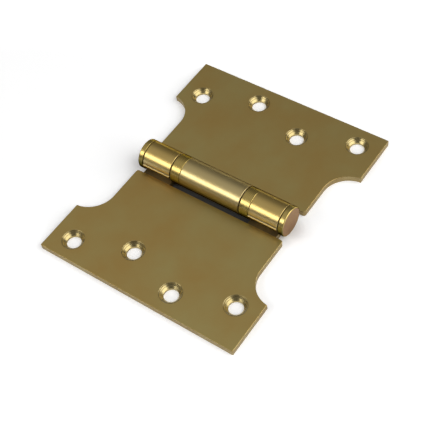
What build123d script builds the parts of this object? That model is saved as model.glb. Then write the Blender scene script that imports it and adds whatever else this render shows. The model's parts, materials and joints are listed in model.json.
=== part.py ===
from build123d import *
from math import asin, cos, degrees, pi, radians, sin, sqrt, tan
import os

# A parliament hinge that lies open and flat: two leaves with wide wings and a
# narrow neck, a barrel of three rolled knuckles on one pin, a ball bearing in
# each space between two knuckles, and a cap on each end of the barrel.
# X runs along the pin, Y across the leaves and Z up. The origin is under the
# middle of the barrel, on the plane of the leaves' backs. Sizes are in mm.

# Outline of a leaf
leaf_height = 102.0
open_width = 127.0
leaf_thickness = 3.0
neck_margin = 0.7
wing_depth = 25.4
cove_radius = 12.6
neck_corner_radius = 1.2
face_edge_bevel = 0.3

# Screw holes of a leaf, in two staggered rows
hole_count = 4
hole_pitch = 26.7
hole_edge_distance = 9.6
hole_stagger = 9.0
screw_hole_diameter = 6.6
countersink_diameter = 10.0
countersink_angle = 90.0
rim_bevel = 0.3
rim_ledge = 0.12

# Pin and knuckles
pin_diameter = 8.0
pin_clearance = 0.05
pin_end_bevel = 0.6
centre_knuckle_length = 31.5
end_knuckle_length = 14.7
knuckle_edge_bevel = 0.2
front_leaf_clearance = 0.7
back_leaf_clearance = 2.55

# Rolled end of the leaf, where it comes back down to the flat
roll_gap = 0.15
roll_tip_thickness = 0.55
roll_lip_radius = 0.55
roll_lip_rise = 0.18
roll_lip_angle = 173.0

# Ball bearings
bearing_shell_length = 5.0
bearing_end_wall = 0.6
bearing_edge_bevel = 0.3
bearing_gap = 0.45
fixed_race_thickness = 1.0
ball_diameter = 2.0
ball_sides = 8
ball_rings = 4
ball_spacing = 0.3
ball_clearance = 0.05
race_bore_clearance = 0.15
fixed_race_clearance = 0.05
running_race_clearance = 0.08

# End caps
cap_thickness = 2.5
cap_bevel = 0.5
cap_shoulder_diameter = 10.4
cap_shoulder_length = 0.4
cap_spigot_length = 3.7
cap_spigot_clearance = 0.02
cap_pin_gap = 0.2

# Barrel section
pin_radius = pin_diameter / 2
bore_radius = pin_radius + pin_clearance
barrel_radius = bore_radius + leaf_thickness
axis_height = barrel_radius

# Places along the pin, measured from the middle of the barrel
centre_knuckle_end = centre_knuckle_length / 2
end_knuckle_start = centre_knuckle_end + bearing_shell_length + bearing_gap
end_knuckle_end = end_knuckle_start + end_knuckle_length
pin_end = end_knuckle_end - cap_spigot_length - cap_pin_gap
barrel_end = end_knuckle_end + cap_shoulder_length + cap_thickness
neck_half_width = barrel_end + neck_margin

# Ball track
race_bore_radius = pin_radius + race_bore_clearance
shell_bore_radius = race_bore_radius + ball_diameter + 2 * ball_clearance
ball_track_radius = (race_bore_radius + shell_bore_radius) / 2
race_gap = ball_diameter + 2 * ball_clearance
ball_plane = bearing_end_wall + fixed_race_thickness + race_gap / 2
ball_count = int(2 * pi * ball_track_radius / (ball_diameter + ball_spacing))

pin_axis = Axis((0, 0, axis_height), (1, 0, 0))


def save(node, solid):
    """Write one sub-part to its own STEP file."""
    export_step(solid, f"parts/{node}.step")


def polar(radius, angle):
    """Point of the barrel's section, at an angle from +Y through +Z about the pin."""
    return Vector(radius * cos(radians(angle)), axis_height + radius * sin(radians(angle)))


def region(*points):
    """Flat face inside a closed run of straight lines."""
    return make_face(Polyline(*points, close=True))


def turned(profile):
    """Solid of revolution about the pin, from a face in lengths along X and radii."""
    return revolve(Plane.XZ * Pos(0, axis_height) * profile, axis=pin_axis)


def block(x_start, x_end, radius_in, radius_out):
    """Rectangle of a turned piece's profile."""
    corners = [(x_start, radius_in), (x_end, radius_in), (x_end, radius_out), (x_start, radius_out)]
    return region(*corners)


def leaf_outline(edge):
    """Flat outline of the leaf towards -Y, from its outer edge up to its knuckle edge at -Y edge."""
    outer_y = -open_width / 2
    cove_x = neck_half_width + cove_radius
    overhang = cove_x - leaf_height / 2
    cove_y = outer_y + wing_depth + sqrt(cove_radius**2 - overhang**2)
    depth = open_width / 2 - edge
    outline = Pos(0, outer_y + depth / 2) * Rectangle(leaf_height, depth)
    for side in (-1, 1):
        corner = region(
            (side * neck_half_width, cove_y),
            (side * leaf_height, cove_y),
            (side * leaf_height, 0),
            (side * neck_half_width, 0),
        )
        outline -= corner + Pos(side * cove_x, cove_y) * Circle(cove_radius)
    neck_corners = outline.vertices().group_by(Axis.Y)[-1]
    return fillet(neck_corners, neck_corner_radius)


def screw_hole():
    """Tool for one countersunk hole, with a bevelled rim and a fine flat ledge inside the rim."""
    hole_r = screw_hole_diameter / 2
    rim_r = countersink_diameter / 2
    sink_r = rim_r - rim_ledge
    sink_top = leaf_thickness - rim_bevel
    sink_bottom = sink_top - (sink_r - hole_r) / tan(radians(countersink_angle / 2))
    profile = region(
        (0, -leaf_thickness),
        (hole_r, -leaf_thickness),
        (hole_r, sink_bottom),
        (sink_r, sink_top),
        (rim_r, sink_top),
        (rim_r + rim_bevel, leaf_thickness),
        (rim_r + rim_bevel, 2 * leaf_thickness),
        (0, 2 * leaf_thickness),
    )
    return revolve(Plane.XZ * profile, axis=Axis.Z)


def hole_places():
    """Centres of a leaf's holes: every other hole sits a stagger further in."""
    first_x = -hole_pitch * (hole_count - 1) / 2
    outer_y = -open_width / 2 + hole_edge_distance
    return [(first_x + i * hole_pitch, outer_y + i % 2 * hole_stagger) for i in range(hole_count)]


def leaf_plate(edge):
    """Flat part of a leaf, with a bevel round its face and countersunk holes."""
    plate = extrude(leaf_outline(edge), leaf_thickness)
    plate = chamfer(plate.edges().group_by(Axis.Z)[-1], face_edge_bevel)
    for x, y in hole_places():
        plate -= Pos(x, y) * screw_hole()
    return plate


def rolled_knuckle(x_start, x_end, edge):
    """Knuckle of the leaf towards -Y: its tongue runs under the pin and rolls round by the far
    side and over the top, until its bevelled end almost closes on the leaf again."""
    length = x_end - x_start
    tip_drop = (bore_radius - roll_gap) / (bore_radius + roll_tip_thickness)
    tip = polar(bore_radius + roll_tip_thickness, 180 + degrees(asin(tip_drop)))
    lip = polar(barrel_radius - roll_lip_radius, roll_lip_angle)
    beyond = tip + (lip - tip) * 2
    recess = region((0, axis_height), tip, beyond, (beyond.X, leaf_thickness), (0, leaf_thickness))
    ring = Pos(0, axis_height) * (Circle(barrel_radius) - Circle(bore_radius))
    start = Plane.YZ.offset(x_start)

    roll = extrude(start * (ring - recess), length)
    rounds = roll.edges().filter_by(GeomType.CIRCLE)
    roll = chamfer([e for e in rounds if e.radius > bore_radius + 0.01], knuckle_edge_bevel)

    lip_centre = polar(barrel_radius - roll_lip_radius + roll_lip_rise, roll_lip_angle)
    bead = Pos(lip_centre.X, lip_centre.Y) * Circle(roll_lip_radius)
    bead_start = Plane.YZ.offset(x_start + knuckle_edge_bevel)
    lip_bead = extrude(bead_start * bead, length - 2 * knuckle_edge_bevel)

    root = -edge - 2 * face_edge_bevel
    tongue = region((root, 0), (0, 0), (0, leaf_thickness), (root, leaf_thickness))
    return roll + lip_bead + extrude(start * tongue, length)


def front_leaf():
    """Leaf with the two end knuckles."""
    edge = barrel_radius + front_leaf_clearance
    leaf = leaf_plate(edge)
    for x_start in (-end_knuckle_end, end_knuckle_start):
        leaf += rolled_knuckle(x_start, x_start + end_knuckle_length, edge)
    return leaf


def back_leaf():
    """Leaf with the centre knuckle, cut like the front leaf and turned half round."""
    edge = barrel_radius + back_leaf_clearance
    leaf = leaf_plate(edge) + rolled_knuckle(-centre_knuckle_end, centre_knuckle_end, edge)
    return Rot(0, 0, 180) * leaf


def pin():
    """Ground pin through all three knuckles, kept in by the caps' spigots."""
    profile = region(
        (-pin_end, 0),
        (-pin_end, pin_radius - pin_end_bevel),
        (-pin_end + pin_end_bevel, pin_radius),
        (pin_end - pin_end_bevel, pin_radius),
        (pin_end, pin_radius - pin_end_bevel),
        (pin_end, 0),
    )
    return turned(profile)


def cap():
    """Cap on the barrel's +X end: a bevelled disc, a shoulder and a spigot in the bore."""
    shoulder_radius = cap_shoulder_diameter / 2
    disc_start = end_knuckle_end + cap_shoulder_length
    spigot = block(
        end_knuckle_end - cap_spigot_length, disc_start, 0, bore_radius - cap_spigot_clearance
    )
    shoulder = block(end_knuckle_end, disc_start, 0, shoulder_radius)
    disc = region(
        (disc_start, 0),
        (disc_start, barrel_radius - knuckle_edge_bevel),
        (disc_start + knuckle_edge_bevel, barrel_radius),
        (barrel_end - cap_bevel, barrel_radius),
        (barrel_end, barrel_radius - cap_bevel),
        (barrel_end, 0),
    )
    return turned(spigot + shoulder + disc)


def bearing_shell(seat):
    """Turned shell, closed towards +X at the knuckle end at seat and open towards -X."""
    wall = block(seat - bearing_shell_length, seat, race_bore_radius, barrel_radius)
    wall = chamfer(wall.vertices().group_by(Axis.Y)[-1], bearing_edge_bevel)
    hollow = block(
        seat - bearing_shell_length, seat - bearing_end_wall, race_bore_radius, shell_bore_radius
    )
    return turned(wall - hollow)


def fixed_race(seat):
    """Hardened ring against the shell's end wall."""
    outer = shell_bore_radius - fixed_race_clearance
    end_wall = seat - bearing_end_wall
    return turned(block(end_wall - fixed_race_thickness, end_wall, race_bore_radius, outer))


def running_race(seat):
    """Hardened ring that closes the shell and bears on the next knuckle along."""
    outer = shell_bore_radius - running_race_clearance
    track_face = seat - ball_plane - race_gap / 2
    knuckle_face = seat - bearing_shell_length - bearing_gap
    return turned(block(knuckle_face, track_face, race_bore_radius, outer))


def ball_ring(row):
    """Corners of one latitude of a ball."""
    latitude = pi * ((row + 0.5) / ball_rings - 0.5)
    radius, height = ball_diameter / 2 * cos(latitude), ball_diameter / 2 * sin(latitude)
    turns = [2 * pi * i / ball_sides for i in range(ball_sides)]
    return [(radius * cos(turn), radius * sin(turn), height) for turn in turns]


def ball():
    """One ball in small flats, because none of it shows."""
    rings = [ball_ring(row) for row in range(ball_rings)]
    flats = [region(*rings[0]), region(*rings[-1])]
    for lower, upper in zip(rings, rings[1:]):
        for i in range(ball_sides):
            flats.append(region(lower[i - 1], lower[i], upper[i], upper[i - 1]))
    return Solid(Shell(flats))


def bearing_balls(seat):
    """Ring of loose balls between the two races."""
    centres = [polar(ball_track_radius, 360 * i / ball_count) for i in range(ball_count)]
    return [Pos(seat - ball_plane, centre.X, centre.Y) * ball() for centre in centres]


def bearing(name, seat):
    """Write the pieces of one bearing."""
    save(f"{name}_bearing_shell", bearing_shell(seat))
    save(f"{name}_fixed_race", fixed_race(seat))
    save(f"{name}_running_race", running_race(seat))
    for i, loose_ball in enumerate(bearing_balls(seat), start=1):
        save(f"{name}_ball_{i:02d}", loose_ball)


os.makedirs("parts", exist_ok=True)
save("front_leaf", front_leaf())
save("back_leaf", back_leaf())
save("pin", pin())
save("right_cap", cap())
save("left_cap", mirror(cap(), about=Plane.YZ))
bearing("left", -centre_knuckle_end)
bearing("right", end_knuckle_start)
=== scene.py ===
# %% [markdown]
# # A parliament hinge, made and dressed in Blender
# The solids of this hinge already exist: they carry its sizes and its motion. This lesson builds
# the pieces that the eye sees, with rounded edges and brushed brass, on top of those solids.
# The loaded solids stay where they are. Each new piece takes the place of one of them, and the
# pin, the races and the balls only get a better finish.

# %% Load the frame
import bmesh
import bpy
import json
from math import cos, degrees, pi, radians, sin, sqrt
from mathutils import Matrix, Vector


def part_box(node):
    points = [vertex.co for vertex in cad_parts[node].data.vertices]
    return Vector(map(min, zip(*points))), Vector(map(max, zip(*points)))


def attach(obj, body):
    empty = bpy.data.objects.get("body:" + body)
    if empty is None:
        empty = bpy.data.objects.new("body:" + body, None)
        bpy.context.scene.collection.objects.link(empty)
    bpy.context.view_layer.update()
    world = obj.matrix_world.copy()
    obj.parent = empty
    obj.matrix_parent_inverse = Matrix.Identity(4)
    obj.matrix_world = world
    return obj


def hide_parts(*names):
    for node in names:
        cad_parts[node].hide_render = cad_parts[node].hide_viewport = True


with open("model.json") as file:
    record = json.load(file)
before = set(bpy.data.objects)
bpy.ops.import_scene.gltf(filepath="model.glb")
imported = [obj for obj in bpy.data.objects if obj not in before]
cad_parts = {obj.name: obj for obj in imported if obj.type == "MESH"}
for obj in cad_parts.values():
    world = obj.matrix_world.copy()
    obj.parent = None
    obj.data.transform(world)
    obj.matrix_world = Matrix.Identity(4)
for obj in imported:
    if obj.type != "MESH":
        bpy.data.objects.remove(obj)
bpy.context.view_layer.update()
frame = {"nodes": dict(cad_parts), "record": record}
mm = 0.001


def in_mm(lengths):
    """Lengths in metres, rounded to hundredths of a millimetre for printing."""
    return [round(length / mm, 2) for length in lengths]


# %% [markdown]
# ## Sizes
# Everything is written in millimetres times `mm`, because Blender counts in metres. X runs along
# the pin, Y across the leaves and Z up. Zero is under the middle of the barrel, on the plane of
# the leaves' backs. The barrel's radius isn't chosen freely: it is the bore for the pin plus the
# sheet that is rolled round it. The leaves' solids are measured too, so that a slip is seen.

# %% Sizes of the leaves and the barrel
leaf_height = 102.0 * mm
open_width = 127.0 * mm
leaf_thickness = 3.0 * mm
neck_half_width = 39.5 * mm
wing_depth = 25.4 * mm
cove_radius = 12.6 * mm

bore_radius = 4.05 * mm
barrel_radius = bore_radius + leaf_thickness
axis_height = barrel_radius
front_clearance = 0.7 * mm
back_clearance = 2.55 * mm
front_leaf_edge = barrel_radius + front_clearance
back_leaf_edge = barrel_radius + back_clearance

for name in ("front_leaf", "back_leaf"):
    low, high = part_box(name)
    print(name, "is", in_mm(high - low), "mm")

# %% [markdown]
# ## Working as by hand
# Blender's operators act on whatever is selected, so each step starts by selecting nothing.
# In edit mode the next faces or edges are picked by where they are or how they face, just as a
# hand would click them.

# %% Helpers for selecting
# two lengths closer than this are the same place, and points closer than the second are merged
pick_tolerance = 0.004 * mm
merge_distance = 0.001 * mm
# a limit on a place is set this much wider than the size it stands for
slack = 0.01 * mm
# a face looks straight along an axis when its normal has at least this much of it
straight = 0.99


def nothing_selected():
    """Deselect every object, so that the next operator acts on the new piece alone."""
    bpy.ops.object.select_all(action="DESELECT")


def take(piece):
    """Make one piece the selected and active object."""
    nothing_selected()
    piece.select_set(True)
    bpy.context.view_layer.objects.active = piece


def settle():
    """Put the active object's place, turn and scale into its mesh."""
    bpy.ops.object.transform_apply(location=True, rotation=True, scale=True)
    return bpy.context.object


def near(a, b):
    """True if two lengths are the same for the purpose of picking."""
    return abs(a - b) < pick_tolerance


def pick(kind, test):
    """In edit mode, select only the faces, edges or vertices that pass a test."""
    modes = {"faces": "FACE", "edges": "EDGE", "verts": "VERT"}
    bpy.ops.mesh.select_mode(type=modes[kind])
    bpy.ops.mesh.select_all(action="DESELECT")
    mesh = bmesh.from_edit_mesh(bpy.context.object.data)
    chosen = [element for element in getattr(mesh, kind) if test(element)]
    for element in chosen:
        element.select_set(True)
    bmesh.update_edit_mesh(bpy.context.object.data)
    return len(chosen)


# %% [markdown]
# Two moves come back all the time. What is picked is pushed out, as with the extrude tool, and a
# whole piece is cut with another by a boolean, as a punch or a drill would.

# %% Helpers for shaping
def push(x=0.0, y=0.0, z=0.0):
    """Extrude what is picked and move it."""
    bpy.ops.mesh.extrude_region_move(TRANSFORM_OT_translate={"value": (x, y, z)})


def cut(piece, tool):
    """Cut one piece with another, which is used up."""
    take(piece)
    bpy.ops.object.modifier_add(type="BOOLEAN")
    punch = piece.modifiers[-1]
    punch.operation = "DIFFERENCE"
    punch.solver = "EXACT"
    punch.object = tool
    bpy.ops.object.modifier_apply(modifier=punch.name)
    bpy.data.objects.remove(tool)


# %% [markdown]
# ## The leaf's blank
# A real leaf is punched from 3 mm brass sheet: wide wings with a round cove each side of a
# narrower neck. Here a block is cut with two cove tools. Each tool is a cylinder, split in half,
# whose flat face is pulled out past the knuckle edge, so the cove runs smoothly into the straight
# side of the neck.

# %% The blank and its cove tools
cove_tool_sides = 160
cove_x = neck_half_width + cove_radius
cove_overhang = cove_x - leaf_height / 2
cove_y = -open_width / 2 + wing_depth + sqrt(cove_radius**2 - cove_overhang**2)


def leaf_block(edge):
    """A block as long and deep as the leaf, with its knuckle edge at minus edge along Y."""
    nothing_selected()
    depth = open_width / 2 - edge
    middle = (0, -open_width / 2 + depth / 2, leaf_thickness / 2)
    bpy.ops.mesh.primitive_cube_add(size=1, location=middle, scale=(leaf_height, depth, leaf_thickness))
    return settle()


def cove_tool(side):
    """Cutter for the cove and the side of the neck, at one end of the leaf."""
    nothing_selected()
    bpy.ops.mesh.primitive_cylinder_add(
        vertices=cove_tool_sides, radius=cove_radius, depth=3 * leaf_thickness,
        location=(side * cove_x, cove_y, leaf_thickness / 2),
    )
    tool = settle()
    bpy.ops.object.mode_set(mode="EDIT")
    bpy.ops.mesh.select_all(action="SELECT")
    bpy.ops.mesh.bisect(
        plane_co=(0, cove_y, 0), plane_no=(0, 1, 0),
        clear_outer=True, use_fill=True, threshold=merge_distance,
    )
    pick("faces", lambda face: face.normal.y > straight)
    push(y=-2 * cove_y)
    bpy.ops.object.mode_set(mode="OBJECT")
    return tool


print("coves of", in_mm([cove_radius]), "mm radius, with centres at", in_mm([cove_x, cove_y]), "mm")

# %% [markdown]
# The neck's corners are rounded a little, the wing's corners less. Then the long edge round the
# face gets a small even round: it is what draws the thin bright line along the leaf's outline.
# The knuckles are left out here, because their ends are rounded when they are rolled.

# %% Round the blank's edges
neck_corner_radius = 1.2 * mm
wing_corner_radius = 0.4 * mm
face_edge_round = 0.16 * mm
back_edge_round = 0.15 * mm


def upright_at(edge, x, y):
    """True for an edge that runs straight up through the sheet at plus or minus x and at y."""
    a, b = (vert.co for vert in edge.verts)
    return abs(a.z - b.z) > leaf_thickness / 2 and near(abs(a.x), x) and near(a.y, y)


def round_outline(leaf, edge_y):
    """Round the corners of the leaf's outline, and then its top and bottom edges."""
    take(leaf)
    bpy.ops.object.mode_set(mode="EDIT")
    corners = (
        (neck_half_width, -edge_y, neck_corner_radius),
        (leaf_height / 2, -open_width / 2, wing_corner_radius),
    )
    for x, y, radius in corners:
        pick("edges", lambda e: upright_at(e, x, y))
        bpy.ops.mesh.bevel(offset=radius, segments=6, affect="EDGES", clamp_overlap=False)
    edges = ((leaf_thickness, face_edge_round, 3), (0, back_edge_round, 2))
    for height, radius, segments in edges:
        def on_outline(edge):
            # one of the edge's two faces is level and the other upright
            a, b = (face.normal for face in edge.link_faces)
            at_height = all(near(v.co.z, height) and v.co.y < -edge_y + slack for v in edge.verts)
            return at_height and abs(a.z - b.z) > 0.5
        pick("edges", on_outline)
        bpy.ops.mesh.bevel(offset=radius, segments=segments, affect="EDGES", clamp_overlap=False)
    bpy.ops.object.mode_set(mode="OBJECT")


# %% [markdown]
# ## The screw holes
# Each hole is drilled, countersunk to 90 degrees for the screw's head, and its rim is broken with
# a fine round just outside a narrow ledge. The hole's wall is written down as a row of steps from
# the bottom of the cone upwards, each with its radius and its height.

# %% The steps of a countersunk hole
hole_count = 4
hole_pitch = 26.7 * mm
hole_edge_distance = 9.6 * mm
hole_stagger = 9.0 * mm
hole_radius = 3.3 * mm
hole_sides = 96
countersink_radius = 5.0 * mm
rim_width = 0.3 * mm
rim_ledge = 0.12 * mm

countersink_top = leaf_thickness - rim_width
countersink_wide = countersink_radius - rim_ledge
countersink_bottom = countersink_top - (countersink_wide - hole_radius)
drill_start = -1.0 * mm

# the countersinking tool leaves a fine step half-way down the cone, besides the ledge at its rim
step_radius = 4.2 * mm
step_ledge = 0.2 * mm
step_height = countersink_bottom + (step_radius - hole_radius)
drill_steps = [
    (step_radius, step_height),
    (step_radius + step_ledge, step_height),
    (countersink_wide, countersink_top - rim_ledge),
    (countersink_wide, countersink_top),
    (countersink_radius, countersink_top),
]
# the rim's round goes up in three turns, and the drill then stands out above the sheet
for turn in (30, 60, 90):
    drill_steps.append((
        countersink_radius + rim_width * (1 - cos(radians(turn))),
        countersink_top + rim_width * sin(radians(turn)),
    ))
drill_steps.append((drill_steps[-1][0], 2 * leaf_thickness))
print("cone from", in_mm([countersink_bottom]), "to", in_mm([countersink_top]), "mm above the back")

# %% [markdown]
# The hole could be shaped in the leaf itself, but it is simpler to make the tool that cuts it: a
# cylinder as wide as the hole, whose top face is pushed up and widened step by step. The same
# drill is then set at each of the four places, which are staggered so that the screws don't
# split the wood along one grain line.

# %% The countersink drill
def drill(x, y):
    """Cutter for one countersunk hole."""
    nothing_selected()
    bpy.ops.mesh.primitive_cylinder_add(
        vertices=hole_sides, radius=hole_radius, depth=countersink_bottom - drill_start,
        location=(x, y, (countersink_bottom + drill_start) / 2),
    )
    tool = settle()
    bpy.ops.object.mode_set(mode="EDIT")
    pick("faces", lambda face: face.normal.z > straight)
    wide = hole_radius
    high = countersink_bottom
    for radius, height in drill_steps:
        push(z=height - high)
        bpy.ops.transform.resize(value=(radius / wide, radius / wide, 1), center_override=(x, y, height))
        wide = radius
        high = height
    bpy.ops.object.mode_set(mode="OBJECT")
    return tool


def hole_places():
    """Centres of a leaf's holes: every other hole sits a stagger further in."""
    first_x = -hole_pitch * (hole_count - 1) / 2
    outer_y = -open_width / 2 + hole_edge_distance
    return [(first_x + i * hole_pitch, outer_y + i % 2 * hole_stagger) for i in range(hole_count)]


print("holes at", [in_mm(place) for place in hole_places()])

# %% [markdown]
# ## The rolled knuckle
# The barrel of such a hinge isn't a tube: the end of the sheet is rolled round the pin. It runs
# flat under the pin, round by the far side and over the top, and comes back down to the leaf,
# where its end is bevelled and pinched to a small raised lip. So it is made as it is rolled: a
# short tongue is pulled out of the blank's knuckle edge, and its end face is spun round the pin's
# axis. Over the last part each small turn also thins the sheet, which draws the lip and the dark
# wedge below it. Leaf and knuckle stay one piece of sheet, with no joint to hide.

# %% The line of the rolled end
lip_angle = 175.0
lip_radius = 0.6 * mm
lip_raise = 0.28 * mm
lip_centre = barrel_radius - lip_radius + lip_raise
lip_steps = 24
lip_step_angle = 0.6
crease_angle = 166.4
crease_depth = 0.2 * mm
tip_angle = 238.0
tip_thickness = 0.55 * mm
tip_radius = bore_radius + tip_thickness


def from_pin(point):
    """Distance of a point from the pin's axis."""
    return (point - Vector((point.x, 0, axis_height))).length


def around_pin(radius, angle):
    """Point of the barrel's section, at an angle from +Y through +Z about the pin."""
    return Vector((0, radius * cos(radians(angle)), axis_height + radius * sin(radians(angle))))


def outer_radius(angle):
    """How far out the sheet's outside is from the pin's axis, at an angle of the roll."""
    off = radians(angle - lip_angle)
    reach = lip_radius**2 - (lip_centre * sin(off)) ** 2
    lip = lip_centre * cos(off) + sqrt(reach) if reach > 0 else 0
    if angle <= crease_angle - 0.5 * lip_step_angle:
        return barrel_radius
    if angle <= lip_angle:
        return max(barrel_radius - crease_depth, lip)
    pin = Vector((0, 0, axis_height))
    start = around_pin(lip_centre, lip_angle)
    run = around_pin(tip_radius, tip_angle) - start
    ray = around_pin(1, angle) - pin
    bevel = (start - pin).cross(run).x / ray.cross(run).x
    return max(bevel, lip)


print("sheet at the lip:", in_mm([outer_radius(lip_angle) - bore_radius]), "mm thick")
print("sheet at the tip:", in_mm([outer_radius(tip_angle) - bore_radius]), "mm thick")

# %% [markdown]
# The tongue is as wide as its knuckle. So the leaf is first cut through in two planes, which
# gives the knuckle edge a face of that width, and this face is pulled out until it is under the
# pin. After the roll, the outer edge at both ends of the knuckle gets a small round.

# %% Pull the tongue and soften the knuckle's ends
knuckle_edge_round = 0.2 * mm
# an edge this close to the barrel's outside is rounded, unless it is this close to the leaf
skin_depth = 0.2 * mm
leaf_margin = 0.1 * mm


def pull_tongue(edge_y, x_start, x_end):
    """Pull a tongue out of the blank's knuckle edge until it is under the pin."""
    for x in (x_start, x_end):
        bpy.ops.mesh.select_all(action="SELECT")
        bpy.ops.mesh.bisect(plane_co=(x, 0, 0), plane_no=(1, 0, 0), threshold=merge_distance)
    def at_tongue(face):
        middle = face.calc_center_median()
        return face.normal.y > straight and near(middle.y, -edge_y) and x_start < middle.x < x_end
    pick("faces", at_tongue)
    push(y=edge_y)


def soften_ends(x_start, x_end):
    """Round the outer edge at both ends of the knuckle."""
    def at_end(edge):
        a, b = (vert.co for vert in edge.verts)
        level = near(a.x, b.x) and (near(a.x, x_start) or near(a.x, x_end))
        outside = min(from_pin(a), from_pin(b)) > barrel_radius - skin_depth
        return level and outside and min(a.y, b.y) > -front_leaf_edge + leaf_margin
    pick("edges", at_end)
    bpy.ops.mesh.bevel(offset=knuckle_edge_round, segments=3, affect="EDGES", clamp_overlap=False)


# %% [markdown]
# The roll goes in three stretches. As far as the crease, the sheet keeps its thickness and turns
# in steps of about 3 degrees. Over the lip the steps are much finer, so that its small round is
# drawn well. After it the sheet thins to its bevelled tip. Each stretch is a row of spins of the
# end face, and after each spin a resize from the bore outwards sets the new thickness, so that
# the bore stays round.

# %% Roll the tongue round the pin
step_angle = 3.0
taper_steps = 16
taper_step_angle = (tip_angle - crease_angle - lip_steps * lip_step_angle) / taper_steps


def roll_knuckle(leaf, edge_y, x_start, x_end):
    """Roll one knuckle of the leaf round the pin, from x_start to x_end."""
    take(leaf)
    bpy.ops.object.mode_set(mode="EDIT")
    pull_tongue(edge_y, x_start, x_end)
    angle = -90.0
    turns = [crease_angle - angle] + [lip_step_angle] * lip_steps + [taper_step_angle] * taper_steps
    for turn in turns:
        steps = max(1, round(turn / step_angle))
        # the spin turns the other way about its axis than our angle counts, so the axis is -X
        bpy.ops.mesh.spin(steps=steps, angle=radians(turn), center=(0, 0, axis_height), axis=(-1, 0, 0))
        thin = (outer_radius(angle + turn) - bore_radius) / (outer_radius(angle) - bore_radius)
        angle += turn
        bpy.ops.transform.resize(value=(1, thin, thin), center_override=around_pin(bore_radius, angle))
    soften_ends(x_start, x_end)
    bpy.ops.object.mode_set(mode="OBJECT")


# %% [markdown]
# ## Finishing a piece
# Smooth shading up to an angle keeps the rounds round. Where a wide face meets the narrow first
# strip of a round, the edge between them is marked sharp, so that the wide face keeps one even
# tone right up to the round. Each piece then stands for its solid, rides on that solid's body,
# and takes its finish from its slot.

# %% Finish, name and hand over a piece
smooth_limit = radians(32)
flat_limit = radians(7)
# a face with this many times the area of the strip beside it is a wide one
wide_face = 6.0


def meets_round(edge):
    """True where a wide face meets the narrow strip of a round, with a bend between them."""
    areas = sorted(face.calc_area() for face in edge.link_faces)
    return len(areas) == 2 and areas[1] > wide_face * areas[0] and edge.calc_face_angle() > flat_limit


def finished(piece, node):
    """Shade a piece, name it, and let it stand for a node on that node's body."""
    take(piece)
    bpy.ops.object.shade_smooth_by_angle(angle=smooth_limit)
    bpy.ops.object.mode_set(mode="EDIT")
    pick("edges", meets_round)
    bpy.ops.mesh.mark_sharp()
    bpy.ops.object.mode_set(mode="OBJECT")
    piece.name = piece.data.name = node + "_brass"
    body = next(b for b, nodes in frame["record"]["behaviour"]["bodies"].items() if node in nodes)
    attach(piece, body)
    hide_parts(node)
    points = [vert.co for vert in piece.data.vertices]
    size = [max(p[i] for p in points) - min(p[i] for p in points) for i in range(3)]
    print(piece.name, "on", body, in_mm(size), "mm,", len(piece.data.polygons), "faces")
    return piece


# %% [markdown]
# ## The two leaves
# Both leaves have the same wings, coves and holes. The front one carries two short knuckles at the
# ends of the barrel, and the back one a longer knuckle in the middle. So one function makes any
# leaf that lies towards -Y, and the back one is turned half round afterwards. The outline's edges
# are rounded last, so that each tongue is pulled out of a plain flat edge.

# %% Make the leaves
centre_knuckle_end = 15.75 * mm
end_knuckle_start = 21.2 * mm
end_knuckle_end = 35.9 * mm


def leaf(edge_y, knuckles):
    """A whole leaf towards -Y: blank, coves, holes, rolled knuckles and rounded edges."""
    piece = leaf_block(edge_y)
    for side in (-1, 1):
        cut(piece, cove_tool(side))
    drills = [drill(x, y) for x, y in hole_places()]
    for tool in drills:
        tool.select_set(True)
    bpy.ops.object.join()
    cut(piece, bpy.context.object)
    for x_start, x_end in knuckles:
        roll_knuckle(piece, edge_y, x_start, x_end)
    round_outline(piece, edge_y)
    return piece


end_spans = [(-end_knuckle_end, -end_knuckle_start), (end_knuckle_start, end_knuckle_end)]
front_leaf = finished(leaf(front_leaf_edge, end_spans), "front_leaf")

centre_span = [(-centre_knuckle_end, centre_knuckle_end)]
back_blank = leaf(back_leaf_edge, centre_span)
take(back_blank)
back_blank.rotation_euler.z = pi
settle()
back_leaf = finished(back_blank, "back_leaf")

# %% [markdown]
# ## Turned pieces
# The caps and the bearing rings are turned on a lathe. The lathe's way in Blender is to draw half
# of the piece's section as a flat face, keep only its outline, and spin it a full turn about the
# pin's axis. Where the section touches the axis, merging doubled points closes the pole.

# %% Draw a section and spin it
lathe_steps = 144


def section(x_start, x_end, radius_in, radius_out):
    """A flat rectangle in the XZ plane: half of a turned piece's section."""
    nothing_selected()
    middle = ((x_start + x_end) / 2, 0, axis_height + (radius_in + radius_out) / 2)
    bpy.ops.mesh.primitive_plane_add(size=1, location=middle, rotation=(pi / 2, 0, 0))
    bpy.context.object.scale = (x_end - x_start, radius_out - radius_in, 1)
    return settle()


def split_at(radius):
    """Cut the section through at a radius."""
    bpy.ops.mesh.select_all(action="SELECT")
    height = axis_height + radius
    bpy.ops.mesh.bisect(plane_co=(0, 0, height), plane_no=(0, 0, 1), threshold=merge_distance)


def pick_side(x, radius_limit, inside):
    """Pick the section's edges on the line x, inside or outside a radius."""
    def on_side(edge):
        middle = (edge.verts[0].co + edge.verts[1].co) / 2
        on_line = all(near(vert.co.x, x) for vert in edge.verts)
        return on_line and (middle.z - axis_height < radius_limit) == inside
    return pick("edges", on_side)


def round_points(places, radius, segments):
    """Round corners of the section, each given as its x and radius."""
    pick("verts", lambda v: any(near(v.co.x, x) and near(v.co.z - axis_height, r) for x, r in places))
    bpy.ops.mesh.bevel(offset=radius, segments=segments, affect="VERTICES", clamp_overlap=False)


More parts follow.
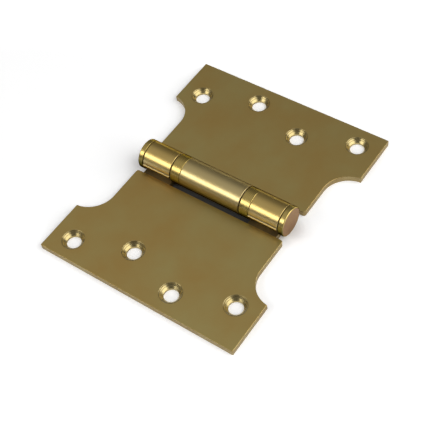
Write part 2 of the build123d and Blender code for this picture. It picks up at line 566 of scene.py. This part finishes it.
def spin_whole():
    """Spin the section's outline a full turn, and close it into a clean shell."""
    bpy.ops.mesh.select_all(action="SELECT")
    bpy.ops.mesh.dissolve_faces()
    bpy.ops.mesh.delete(type="ONLY_FACE")
    bpy.ops.mesh.select_all(action="SELECT")
    bpy.ops.mesh.spin(steps=lathe_steps, angle=2 * pi, center=(0, 0, axis_height), axis=(1, 0, 0))
    bpy.ops.mesh.select_all(action="SELECT")
    bpy.ops.mesh.remove_doubles(threshold=merge_distance)
    bpy.ops.mesh.delete_loose()
    bpy.ops.mesh.select_all(action="SELECT")
    bpy.ops.mesh.normals_make_consistent(inside=False)
    bpy.ops.object.mode_set(mode="OBJECT")


# %% [markdown]
# The cap is a disc with a broken outer edge. Behind it a smaller shoulder leaves the fine dark
# line that shows between cap and knuckle, and a spigot sits in the bore and hides the pin.

# %% The caps
cap_line = 0.4 * mm
cap_thickness = 2.5 * mm
cap_start = end_knuckle_end + cap_line
barrel_end = cap_start + cap_thickness
cap_shoulder_radius = 5.2 * mm
cap_round = 0.45 * mm
spigot_radius = 4.03 * mm
spigot_length = 3.7 * mm


def cap():
    """Cap on the barrel's +X end."""
    piece = section(cap_start, barrel_end, 0, barrel_radius)
    bpy.ops.object.mode_set(mode="EDIT")
    for radius in (spigot_radius, cap_shoulder_radius):
        split_at(radius)
    pick_side(cap_start, cap_shoulder_radius, True)
    push(x=end_knuckle_end - cap_start)
    pick_side(end_knuckle_end, spigot_radius, True)
    push(x=-spigot_length)
    round_points([(barrel_end, barrel_radius)], cap_round, 4)
    round_points([(cap_start, barrel_radius)], knuckle_edge_round, 3)
    round_points([(end_knuckle_end - spigot_length, spigot_radius)], knuckle_edge_round, 2)
    spin_whole()
    return piece


right_cap = finished(cap(), "right_cap")
left_blank = cap()
take(left_blank)
left_blank.rotation_euler.z = pi
settle()
left_cap = finished(left_blank, "left_cap")

# %% [markdown]
# Each bearing ring is a thin turned cup. Its closed end sits on one knuckle, and its open end
# leaves a narrow running gap to the next knuckle, which shows as the darker of the two lines.

# %% The bearing rings
bearing_length = 5.0 * mm
bearing_wall_end = 0.6 * mm
bearing_bore = 4.15 * mm
bearing_inside = 6.25 * mm
bearing_round = 0.3 * mm


def bearing_ring(seat):
    """Cup of a bearing, closed at its +X end at seat."""
    piece = section(seat - bearing_wall_end, seat, bearing_bore, barrel_radius)
    bpy.ops.object.mode_set(mode="EDIT")
    split_at(bearing_inside)
    pick_side(seat - bearing_wall_end, bearing_inside, False)
    push(x=bearing_wall_end - bearing_length)
    corners = [(seat, barrel_radius), (seat - bearing_length, barrel_radius)]
    round_points(corners, bearing_round, 4)
    spin_whole()
    return piece


seats = {"left_bearing_shell": -centre_knuckle_end, "right_bearing_shell": end_knuckle_start}
rings = {node: finished(bearing_ring(seat), node) for node, seat in seats.items()}

# %% [markdown]
# ## Brass and steel
# All the brass is one alloy with different finishes. The sheet is satin: fine lines from an
# abrasive belt, which blur reflections, with a faint uneven tarnish under the lacquer. The barrel
# was brushed round after it was rolled, the turned rings and countersinks are brighter, and the
# sheared edges and the inside of the roll were never polished. Their darker colours, and those of
# the cap faces and the barrel's flanks, are also painted shade. Metals keep the default IOR.

# %% Helpers for materials
def linear(hexa):
    """An sRGB hex colour as linear red, green, blue and alpha."""
    parts = [int(hexa[i:i + 2], 16) / 255 for i in (1, 3, 5)]
    return [c / 12.92 if c <= 0.04045 else ((c + 0.055) / 1.055) ** 2.4 for c in parts] + [1.0]


def add(tree, kind, settings=None, inputs=None, stops=()):
    """Add a node, set its properties, set or link its inputs, and set a colour ramp's stops."""
    made = tree.nodes.new(kind)
    for key, value in (settings or {}).items():
        setattr(made, key, value)
    for key, value in (inputs or {}).items():
        if isinstance(value, bpy.types.NodeSocket):
            tree.links.new(value, made.inputs[key])
        else:
            made.inputs[key].default_value = value
    # a colour ramp starts with two stops, and each stop here is a place from 0 to 1 and a tone
    for extra in stops[2:]:
        made.color_ramp.elements.new(0.5)
    for i, (place, tone) in enumerate(stops):
        made.color_ramp.elements[i].position = place
        made.color_ramp.elements[i].color = (tone, tone, tone, 1)
    return made


def new_metal(name):
    """An empty metal: its material, tree, shader and Object coordinates."""
    made = bpy.data.materials.new(name)
    made.use_nodes = True
    shader = made.node_tree.nodes["Principled BSDF"]
    shader.inputs["Metallic"].default_value = 1.0
    return made, made.node_tree, shader, add(made.node_tree, "ShaderNodeTexCoord").outputs["Object"]


# %% [markdown]
# Brushed metal could be done with an anisotropic shader, but its lines would then have no grain
# to be seen. Here one noise pattern is stretched into long lines across X. It drives a little
# bump and a little roughness, so that the lines catch the light. A second, much larger noise
# mixes two close colours, which is the uneven tarnish. Real brush lines are about 0.05 mm apart
# and one pixel of the render covers about 0.45 mm, so the lines are drawn 0.25 to 0.7 mm apart.

# %% Brushed brass
# on the barrel's flanks the brass is painted darker, as painted shade, between these distances from the pin,
# along Y
flank_shade_start = 5 * mm
flank_shade_full = 6.9 * mm


def brushed_brass(
    name, light, dark, rough, line_pitch, line_length, line_depth,
    patch_size=24 * mm, flank_shade_colour=None, edge_tint="#ffffff"
):
    """Brass with fine lines across X, in two close colours that give the faint uneven tarnish."""
    made, tree, shader, place = new_metal(name)
    shader.inputs["Specular Tint"].default_value = linear(edge_tint)
    stretch = add(tree, "ShaderNodeMapping", inputs={
        "Vector": place, "Scale": (1 / line_pitch, 1 / line_length, 1 / line_length)})
    lines = add(tree, "ShaderNodeTexNoise", inputs={
        "Vector": stretch.outputs["Vector"], "Scale": 1.0, "Detail": 2.0, "Roughness": 0.6})
    patches = add(tree, "ShaderNodeTexNoise", inputs={
        "Vector": place, "Scale": 1 / patch_size, "Detail": 3.0, "Roughness": 0.55})
    tint = add(tree, "ShaderNodeMapRange", inputs={
        "Value": patches.outputs["Fac"], "From Min": 0.3, "From Max": 0.7})
    colour = add(tree, "ShaderNodeMix", {"data_type": "RGBA"}, {
        0: tint.outputs["Result"], 6: linear(dark), 7: linear(light)})
    shown = colour.outputs[2]
    # painted shade: towards the barrel's flanks the colour is multiplied by a darker tint
    if flank_shade_colour:
        across = add(tree, "ShaderNodeSeparateXYZ", inputs={0: place}).outputs["Y"]
        out = add(tree, "ShaderNodeMath", {"operation": "ABSOLUTE"}, {0: across})
        flank = add(tree, "ShaderNodeMapRange", inputs={
            "Value": out.outputs["Value"], "From Min": flank_shade_start, "From Max": flank_shade_full})
        toned = add(tree, "ShaderNodeMix", {"data_type": "RGBA", "blend_type": "MULTIPLY"}, {
            0: flank.outputs["Result"], 6: shown, 7: linear(flank_shade_colour)})
        shown = toned.outputs[2]
    tree.links.new(shown, shader.inputs["Base Color"])
    spread = add(tree, "ShaderNodeMapRange", inputs={
        "Value": lines.outputs["Fac"], "From Min": 0.25, "From Max": 0.75,
        "To Min": 0.9 * rough, "To Max": 1.1 * rough})
    tree.links.new(spread.outputs["Result"], shader.inputs["Roughness"])
    grain = add(tree, "ShaderNodeBump", inputs={
        "Height": lines.outputs["Fac"], "Strength": 0.35, "Distance": line_depth})
    tree.links.new(grain.outputs["Normal"], shader.inputs["Normal"])
    return made


# %% [markdown]
# The flats, the barrel, the lip and the turned rings differ in how the brass was worked, and the
# eye tells them apart by tone and by how sharp their reflections are. The barrel's flanks are
# painted darker than its top, as painted shade. A tint for glancing light lowers the reflection
# near the barrel's outline, which keeps the rims dark.

# %% The finishes of the sheet and the barrel
rim_tint = "#5a5248"

# belt-brushed sheet under lacquer: one soft tone with faint tarnish and no sharp reflection
satin_sheet = brushed_brass(
    "satin_brass_sheet", light="#d9c37d", dark="#d8b46a", rough=0.36,
    line_pitch=0.25 * mm, line_length=9 * mm, line_depth=0.004 * mm)

# the end knuckles, brushed round after rolling: a bright yellow stripe that falls off softly, and painted
# bluish shade on the flanks
rolled_brass = brushed_brass(
    "brushed_rolled_brass", light="#e3c67e", dark="#debd70", rough=0.3,
    line_pitch=0.6 * mm, line_length=40 * mm, line_depth=0.001 * mm,
    flank_shade_colour="#b7c7f9", edge_tint=rim_tint)

# the centre knuckle, paler and a little more matt: a wider stripe, and painted grey shade on its flanks
matt_rolled_brass = brushed_brass(
    "matt_rolled_brass", light="#e1cc92", dark="#dcc385", rough=0.34,
    line_pitch=0.6 * mm, line_length=40 * mm, line_depth=0.001 * mm,
    flank_shade_colour="#74787e", edge_tint=rim_tint)

# caps and rings, turned and polished: the smoothest brass, with a narrow crisp stripe and painted grey shade
# on the flanks
turned_brass = brushed_brass(
    "turned_brass", light="#d8c078", dark="#ccae60", rough=0.28,
    line_pitch=0.7 * mm, line_length=60 * mm, line_depth=0.0003 * mm,
    flank_shade_colour="#7c8790", edge_tint=rim_tint)

# the pinched lip, rubbed by handling: duller than the barrel, so it reads as a line, not a flash
lip_brass = brushed_brass(
    "worn_lip", light="#c8b078", dark="#bca46a", rough=0.38,
    line_pitch=0.6 * mm, line_length=40 * mm, line_depth=0.001 * mm)

print("finishes:", [m.name for m in (satin_sheet, rolled_brass, matt_rolled_brass, turned_brass, lip_brass)])

# %% [markdown]
# The small surfaces have grain in place of lines, because no brush ran along them: their pattern
# is about as long as it is wide. How rough each one is follows from the tool that cut it. Real
# grains are finer than a pixel of the render, so they are drawn 0.3 to 0.6 mm across.

# %% The finishes of the small surfaces
# cut by the countersinking tool and left bright: paler and greyer, with a clean gleam
bright_cone = brushed_brass(
    "bright_countersink", light="#b8a878", dark="#ac9a68", rough=0.3,
    line_pitch=0.4 * mm, line_length=0.4 * mm, line_depth=0.0005 * mm)

# the flat ends of the caps, faced and then tarnished: brown, with small blotches and little shine; the brown
# is also painted shade for the dim surroundings they reflect
cap_face_tarnish_and_shade = brushed_brass(
    "tarnished_and_shaded_cap_face", light="#98743f", dark="#8c6540", rough=0.4,
    line_pitch=0.6 * mm, line_length=0.6 * mm, line_depth=0.003 * mm, patch_size=3 * mm)

# sheared by the punch and left so: dull and grainy, without a stripe; its darker colour is also painted
# shade on the upright edges and their rounds
sheared_edge_and_shade = brushed_brass(
    "sheared_brass_edge_and_shade", light="#a4946a", dark="#968054", rough=0.5,
    line_pitch=0.3 * mm, line_length=0.3 * mm, line_depth=0.01 * mm, patch_size=8 * mm)

# inside the roll no buff ever reached: a dull grey-brown, which is also painted shade in the crease above
# the lip and in the wedge below it
inside_and_crease_shade = brushed_brass(
    "unpolished_roll_inside_and_shade", light="#a89870", dark="#8a7a58", rough=0.5,
    line_pitch=0.3 * mm, line_length=0.5 * mm, line_depth=0.01 * mm, patch_size=6 * mm)

print("finishes:", [m.name for m in (bright_cone, cap_face_tarnish_and_shade, sheared_edge_and_shade, inside_and_crease_shade)])

# %% [markdown]
# A piece gets its main finish first. Then the faces of each other surface are picked by place and
# given theirs: the countersinks, the barrel, its lip, the sheared edges and the inside of the
# roll. The order matters, because a later pick may take over faces of an earlier one.

# %% Tell the surfaces apart
# the lip stands out of the barrel by less than the first, and by more than the second
lip_allowance = 0.3 * mm
lip_start = 0.02 * mm
# the inside of the roll lies at least this deep under the barrel's outside
inside_depth = 0.1 * mm
# an upright face belongs to the leaf if it lies beyond the knuckle edge, less this much
edge_allowance = 0.1 * mm


def in_hole(face):
    """True for the faces of a countersunk hole, on either leaf."""
    # the back leaf is the same leaf turned half round, so its holes are at minus x and minus y
    side = -1 if face.calc_center_median().y < 0 else 1
    def reach(vert, spot):
        return (Vector((-side * vert.co.x, -side * vert.co.y)) - Vector(spot)).length
    limit = countersink_radius + rim_width + slack
    return any(all(reach(vert, spot) < limit for vert in face.verts) for spot in hole_places())


def is_barrel(face):
    """True for the outside of a knuckle, its ends' rounds and its lip."""
    middle = face.calc_center_median()
    out = (middle - Vector((middle.x, 0, axis_height))).normalized()
    return from_pin(middle) < barrel_radius + lip_allowance and face.normal.dot(out) > 0.3


def is_lip(face):
    """True for the raised lip at the end of a knuckle's roll."""
    return from_pin(face.calc_center_median()) > barrel_radius + lip_start and is_barrel(face)


def is_inside_shade(face):
    """True for the inside of the roll, the crease above its lip and the face below it, which get painted
    shade.
    """
    within = from_pin(face.calc_center_median()) < barrel_radius - inside_depth
    return within and abs(face.normal.x) < 0.5


def is_sheared(face):
    """True for the upright edges of the sheet with their rounds, and the ends of the knuckles."""
    upright = abs(face.normal.z) < 0.9 and not in_hole(face)
    away = abs(face.calc_center_median().y) > front_leaf_edge - edge_allowance
    return upright and away or abs(face.normal.x) > 0.95


def is_cap_face(face):
    """True for the flat outer end of a cap."""
    return abs(face.normal.x) > straight and abs(face.calc_center_median().x) > cap_start


# %% Give each surface its finish
def cover(piece, finish):
    """Give a whole piece its main finish."""
    piece.data.materials.clear()
    piece.data.materials.append(finish)


def paint(piece, finish, test):
    """Give the faces that pass a test their own finish."""
    take(piece)
    bpy.ops.object.material_slot_add()
    piece.material_slots[-1].material = finish
    bpy.ops.object.mode_set(mode="EDIT")
    count = pick("faces", test)
    piece.active_material_index = len(piece.material_slots) - 1
    bpy.ops.object.material_slot_assign()
    bpy.ops.object.mode_set(mode="OBJECT")
    print(" ", finish.name, "on", count, "faces of", piece.name)


for piece, barrel_finish in ((front_leaf, rolled_brass), (back_leaf, matt_rolled_brass)):
    cover(piece, satin_sheet)
    paint(piece, bright_cone, in_hole)
    paint(piece, barrel_finish, is_barrel)
    paint(piece, lip_brass, is_lip)
    paint(piece, sheared_edge_and_shade, is_sheared)
    paint(piece, inside_and_crease_shade, is_inside_shade)
for piece in (left_cap, right_cap, *rings.values()):
    cover(piece, turned_brass)
for piece in (left_cap, right_cap):
    paint(piece, cap_face_tarnish_and_shade, is_cap_face)

# %% [markdown]
# The pin, the races and the balls are steel. Little of them shows, only through the gaps, but a
# ground surface still has its fine lines, and polished balls have fewer. The lines are drawn 0.3
# and 0.5 mm apart, coarser than real ones, for the same reason as on the brass. The loaded solids
# of these pieces have the right shape, so they only get this finish. Every other loaded solid
# gets it as well, which nobody sees, because the brass pieces stand in for them.

# %% Ground steel for the pin, races and balls
grind_length = 50 * mm
rough_spread = 0.08


def ground_steel(name, colour, rough, line_pitch):
    """Steel ground round the pin's axis, in lines across X."""
    made, tree, shader, place = new_metal(name)
    shader.inputs["Base Color"].default_value = linear(colour)
    stretch = add(tree, "ShaderNodeMapping", inputs={
        "Vector": place, "Scale": (1 / line_pitch, 1 / grind_length, 1 / grind_length)})
    lines = add(tree, "ShaderNodeTexNoise", inputs={"Vector": stretch.outputs["Vector"], "Scale": 1.0})
    spread = add(tree, "ShaderNodeMapRange", inputs={
        "Value": lines.outputs["Fac"], "To Min": rough - rough_spread, "To Max": rough + rough_spread})
    tree.links.new(spread.outputs["Result"], shader.inputs["Roughness"])
    return made


# the pin is ground and not polished: a grey sheen in rings round it
pin_steel = ground_steel("ground_pin_steel", colour="#8e8c88", rough=0.32, line_pitch=0.3 * mm)
# races and balls are hardened and polished: a brighter steel with clearer reflections
bearing_steel = ground_steel("hardened_bearing_steel", colour="#a7a7a8", rough=0.2, line_pitch=0.5 * mm)

for name, solid in frame["nodes"].items():
    cover(solid, pin_steel if name == "pin" else bearing_steel)
print("steel on", len(frame["nodes"]), "loaded solids")

# %% [markdown]
# ## Floor, light and camera
# The floor is a plain, nearly white plane just under the hinge. Two soft ramps run outwards from
# the middle of the barrel in ovals. The first darkens the floor's own colour under the barrel:
# the slot in front of the centre knuckle is dark in the photo, and an even floor fills it with
# light. The second lets the floor glow a little away from the hinge, which gives the photo's
# white ground without stronger lamps.

# %% The floor
floor_side = 8.0
floor_drop = 0.02 * mm
oval_half_length = 42 * mm
oval_half_width = 14 * mm
# each pair is a place and a tone, and place 1 is this many ovals out from the middle
ovals_out = 6.0
floor_shade = ((0.11, 0.17), (0.18, 0.95))
floor_glow = ((0.12, 0.0), (0.2, 0.28), (0.65, 0.28), (0.85, 0.4))

nothing_selected()
bpy.ops.mesh.primitive_plane_add(size=floor_side, location=(0, 0, -floor_drop))
floor = settle()
floor.name = "floor"
floor_paint = bpy.data.materials.new("pale_matt_floor")
floor_paint.use_nodes = True
floor_tree = floor_paint.node_tree
floor_shader = floor_tree.nodes["Principled BSDF"]
floor_shader.inputs["Roughness"].default_value = 0.9
floor_shader.inputs["Specular IOR Level"].default_value = 0.1
floor_shader.inputs["Emission Color"].default_value = linear("#ffffff")
spot = add(floor_tree, "ShaderNodeTexCoord").outputs["Object"]
ovals = add(floor_tree, "ShaderNodeMapping", inputs={
    "Vector": spot, "Scale": (1 / oval_half_length, 1 / oval_half_width, 0)})
away = add(floor_tree, "ShaderNodeVectorMath", {"operation": "LENGTH"}, {0: ovals.outputs["Vector"]})
part = add(floor_tree, "ShaderNodeMath", {"operation": "DIVIDE"}, {0: away.outputs["Value"], 1: ovals_out})
shade = add(floor_tree, "ShaderNodeValToRGB", inputs={"Fac": part.outputs["Value"]}, stops=floor_shade)
glow = add(floor_tree, "ShaderNodeValToRGB", inputs={"Fac": part.outputs["Value"]}, stops=floor_glow)
floor_tree.links.new(shade.outputs["Color"], floor_shader.inputs["Base Color"])
floor_tree.links.new(glow.outputs["Color"], floor_shader.inputs["Emission Strength"])
floor.data.materials.append(floor_paint)
print("floor of", floor_side, "m, half an oval is", in_mm([oval_half_length, oval_half_width]), "mm")

# %% [markdown]
# Satin metal shows the room more than its own colour, so the lights are large soft boxes: one low
# at the front left, which draws the long bright stripe on the barrel, and one at the right, which
# whitens the floor and lights the coves and the countersinks. The room itself is brightest
# overhead, a little to the left, and falls off to a dim grey on all sides, which gives the flats
# their quiet tone and the barrel its soft shading. A few tones by direction do this with no walls.

# %% The soft boxes and the room
def soft_box(name, towards, distance, width, height, radiance):
    """A rectangular light that stands in a direction and faces the hinge."""
    back = Vector(towards).normalized()
    bpy.ops.object.light_add(type="AREA", location=back * distance)
    lamp = bpy.context.object
    lamp.name = name
    lamp.rotation_euler = back.to_track_quat("Z", "Y").to_euler()
    lamp.data.shape = "RECTANGLE"
    lamp.data.size = width
    lamp.data.size_y = height
    lamp.data.energy = radiance * pi * width * height
    print(name, "of", width, "by", height, "m,", round(lamp.data.energy, 1), "W")
    return lamp


nothing_selected()
soft_box(
    "front_left_box", towards=(-0.42, -0.71, 0.57), distance=1.5, width=1.1, height=0.54, radiance=3.3)
soft_box("right_box", towards=(0.76, 0.22, 0.62), distance=1.5, width=1.9, height=1.5, radiance=2.6)

brightest_way = Vector((-0.40, -0.05, 0.91)).normalized()
# each pair is an angle in degrees away from the brightest way, and the room's tone there
room_tones = (
    (90, 0.10), (65.5, 0.12), (48, 0.16), (37.5, 0.235),
    (30, 0.29), (24.4, 0.35), (12.8, 0.41), (0, 0.45),
)
# the ramp runs from 0, straight away from that way, to 1, straight along it
tone_stops = [((1 + cos(radians(apart))) / 2, tone) for apart, tone in room_tones]
room = bpy.data.worlds.new("studio_room")
bpy.context.scene.world = room
room.use_nodes = True
sky = room.node_tree
look = add(sky, "ShaderNodeTexCoord").outputs["Generated"]
facing = add(sky, "ShaderNodeVectorMath", {"operation": "DOT_PRODUCT"}, {0: look, 1: brightest_way})
half_range = add(sky, "ShaderNodeMapRange", inputs={
    "Value": facing.outputs["Value"], "From Min": -1.0, "From Max": 1.0})
tones = add(sky, "ShaderNodeValToRGB", inputs={"Fac": half_range.outputs["Result"]}, stops=tone_stops)
sky.links.new(tones.outputs["Color"], sky.nodes["Background"].inputs["Color"])
bpy.context.scene.view_settings.view_transform = "Standard"
print("room tones from", room_tones[0][1], "to", room_tones[-1][1])

# %% [markdown]
# The camera stands where the photographer's stood. Its place and turn were worked out from the
# four outer corners of the open hinge, taken at its stock size of 102 by 127 mm. The photo is
# square, and its side and the focal length, both in pixels, together give the lens.

# %% The camera
image_side = 436
focal_pixels = 987.6
sensor_side = 36
camera_place = (183.41 * mm, -204.33 * mm, 347.47 * mm)
camera_turn = (radians(36.673), radians(5.720), radians(34.665))

bpy.ops.object.camera_add(location=camera_place, rotation=camera_turn)
camera = bpy.context.object
camera.name = "camera"
camera.data.sensor_width = sensor_side
camera.data.lens = focal_pixels / image_side * sensor_side
camera.data.clip_start = 10 * mm
bpy.context.scene.camera = camera
turned = [round(degrees(angle), 1) for angle in camera.rotation_euler]
print("lens", round(camera.data.lens, 2), "mm, turned", turned, "degrees")
